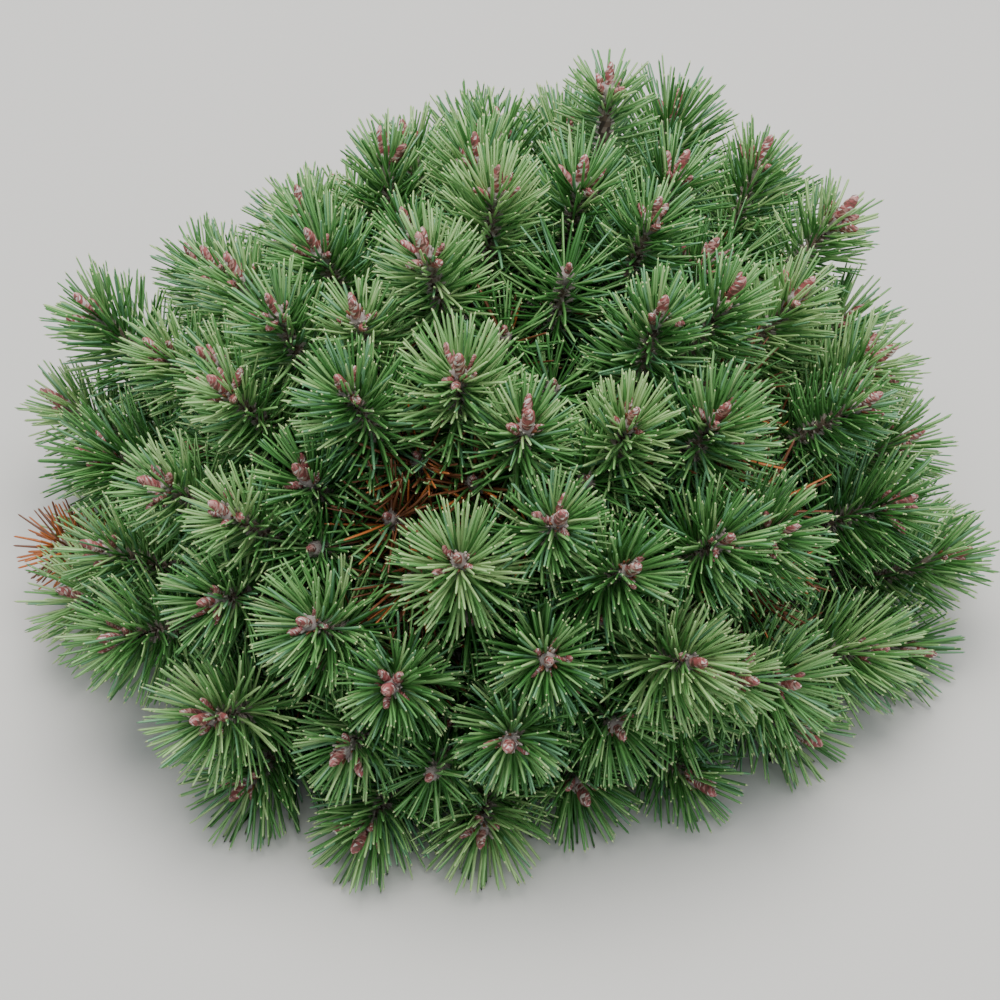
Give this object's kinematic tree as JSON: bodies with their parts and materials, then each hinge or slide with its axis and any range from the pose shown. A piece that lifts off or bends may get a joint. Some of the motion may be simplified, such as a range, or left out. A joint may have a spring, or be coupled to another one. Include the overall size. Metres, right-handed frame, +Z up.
{
  "type": "mugo pine shrub",
  "caption": "Low, dense cushion-shaped evergreen pine shrub, rooted in the ground, with short needles in rosettes round clusters of buds on many upturned shoots.",
  "frame": {"origin": "centre of the trunk's flat foot, at the level of the ground", "axes": "+Z up, -Y towards the side that the picture shows, +X to its right"},
  "size_m": [0.5245, 0.4721, 0.2792],
  "materials": {
    "bark": "rough grey-brown bark, ridged where old needles have dropped",
    "foliage": "stiff dark green needles with a slight sheen, and red-brown buds with white resin"
  },
  "bodies": {
    "root": {"trunk": "bark", "bough_crown_top": "bark", "foliage_crown_top": "foliage", "bough_leader": "bark", "foliage_leader": "foliage", "bough_back_left_top": "bark", "foliage_back_left_top": "foliage", "bough_left_shoulder": "bark", "foliage_left_shoulder": "foliage", "bough_top_front_left": "bark", "foliage_top_front_left": "foliage", "bough_top_front_right": "bark", "foliage_top_front_right": "foliage", "bough_top_right": "bark", "foliage_top_right": "foliage", "bough_right_back": "bark", "foliage_right_back": "foliage", "bough_right_shoulder": "bark", "foliage_right_shoulder": "foliage", "bough_centre_right": "bark", "foliage_centre_right": "foliage", "bough_centre": "bark", "foliage_centre": "foliage", "bough_centre_left": "bark", "foliage_centre_left": "foliage", "bough_left_side": "bark", "foliage_left_side": "foliage", "bough_left_low": "bark", "foliage_left_low": "foliage", "bough_left_front": "bark", "foliage_left_front": "foliage", "bough_front_left": "bark", "foliage_front_left": "foliage", "bough_front_middle": "bark", "foliage_front_middle": "foliage", "bough_front_right": "bark", "foliage_front_right": "foliage", "bough_right_low": "bark", "foliage_right_low": "foliage", "bough_right_side_low": "bark", "foliage_right_side_low": "foliage", "bough_right_back_low": "bark", "foliage_right_back_low": "foliage", "bough_back_right": "bark", "foliage_back_right": "foliage", "bough_back": "bark", "foliage_back": "foliage", "bough_back_low": "bark", "foliage_back_low": "foliage", "bough_back_left_low": "bark", "foliage_back_left_low": "foliage", "bough_back_left": "bark", "foliage_back_left": "foliage", "bough_left_back_low": "bark", "foliage_left_back_low": "foliage", "bough_left_foot": "bark", "foliage_left_foot": "foliage"}
  },
  "joints": []
}
